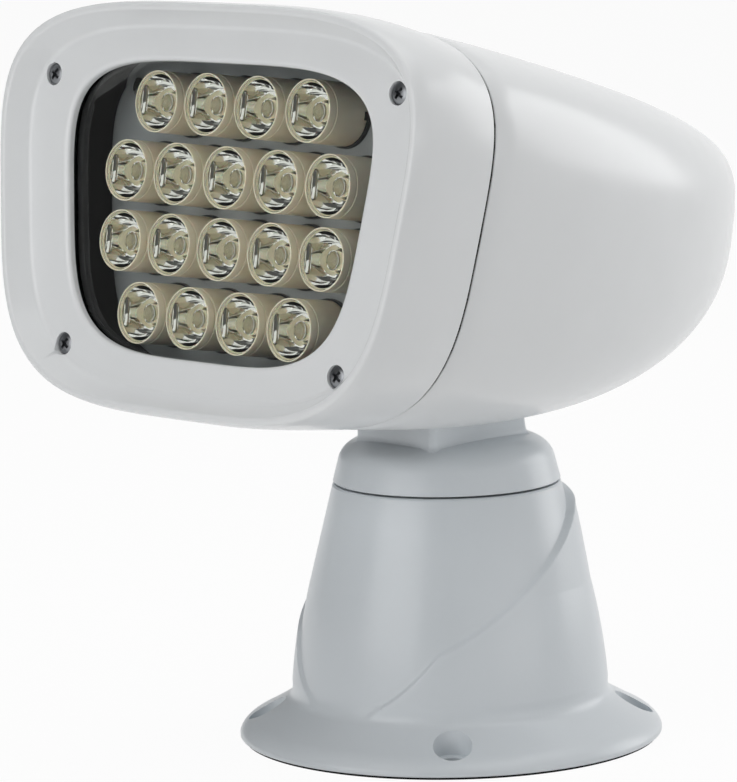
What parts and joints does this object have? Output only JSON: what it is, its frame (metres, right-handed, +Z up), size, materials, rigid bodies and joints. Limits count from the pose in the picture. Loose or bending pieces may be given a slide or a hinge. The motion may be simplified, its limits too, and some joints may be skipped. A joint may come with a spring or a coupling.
{
  "type": "marine searchlight",
  "caption": "Remote-controlled marine searchlight: a white head with rows of light emitting diodes tilts on a neck that pans on a grey flanged base.",
  "frame": {"origin": "on the mounting surface under the flange, on the pan axis", "axes": "+Z up along the pan axis, -Y the way the light faces, +X across the head"},
  "size_m": [0.218, 0.2823, 0.2824],
  "materials": {
    "grey_casting": "satin",
    "white_plastic": "semi-gloss moulded",
    "cream_plastic": "satin moulded",
    "black_plastic": "moulded",
    "gear_plastic": "machined",
    "black_rubber": "moulded",
    "clear_glass": "polished",
    "plate_grey": "satin",
    "plain_aluminium": "milled",
    "steel": "bright",
    "dark_metal": "dark",
    "bronze": "sintered",
    "reflector": "vapour-coated",
    "emitter": "silicone",
    "circuit_board": "solder mask"
  },
  "bodies": {
    "base": {"base_housing": "grey_casting", "base_gasket": "black_rubber", "bottom_plate": "plain_aluminium", "bottom_plate_screws": "steel", "cable_gland": "black_plastic", "gland_nut": "black_plastic", "control_board": "circuit_board", "mechanism_plate": "plain_aluminium", "mechanism_plate_screws": "steel", "pan_gearbox": "dark_metal", "pan_motor": "steel", "pan_motor_screws": "steel", "upper_pan_bush": "bronze", "lower_pan_bush": "bronze", "turntable_seal": "black_rubber"},
    "pan_pinion": {"pan_pinion": "bronze"},
    "turntable": {"yoke": "grey_casting", "pan_shaft": "steel", "pan_gear": "gear_plastic", "pan_circlip": "dark_metal", "tilt_bushes": "bronze", "tilt_gearbox": "dark_metal", "tilt_motor": "steel", "tilt_motor_screws": "steel", "slot_shield": "black_plastic"},
    "tilt_pinion": {"tilt_pinion": "bronze"},
    "head": {"bezel": "white_plastic", "bezel_screws": "dark_metal", "window_gasket": "black_rubber", "window_glass": "clear_glass", "glass_retainer": "black_plastic", "retainer_screws": "steel", "seam_gasket": "black_rubber", "rear_housing": "white_plastic", "diode_plate": "plate_grey", "diode_boards": "black_plastic", "diode_emitters": "emitter", "diode_holders": "cream_plastic", "diode_reflectors": "reflector", "plate_screws": "steel", "heat_sink": "plain_aluminium", "chassis_screws": "steel", "tilt_brackets": "plain_aluminium", "bracket_screws": "steel", "tilt_shaft": "steel", "tilt_sector": "gear_plastic", "tilt_spacer": "plain_aluminium", "shaft_circlips": "dark_metal", "driver_board": "circuit_board", "driver_board_screws": "steel"}
  },
  "joints": [
    {"name": "pan", "type": "hinge", "parent": "base", "child": "turntable", "pos_m": [0, 0, 0.097], "axis": [0, 0, 1], "range_deg": [-175, 175]},
    {"name": "pan_pinion_turn", "type": "hinge", "parent": "base", "child": "pan_pinion", "pos_m": [0, 0.035, 0.06], "axis": [0, 0, 1], "range_deg": [-720, 720]},
    {"name": "tilt", "type": "hinge", "parent": "turntable", "child": "head", "pos_m": [0, -0.003, 0.18], "axis": [1, 0, 0], "range_deg": [-15, 15]},
    {"name": "tilt_pinion_turn", "type": "hinge", "parent": "turntable", "child": "tilt_pinion", "pos_m": [0, -0.003, 0.15], "axis": [1, 0, 0], "range_deg": [-72, 72]}
  ],
  "couplings": [
    {"joint": "pan_pinion_turn", "follows": "pan", "ratio": -4},
    {"joint": "tilt_pinion_turn", "follows": "tilt", "ratio": -4}
  ]
}
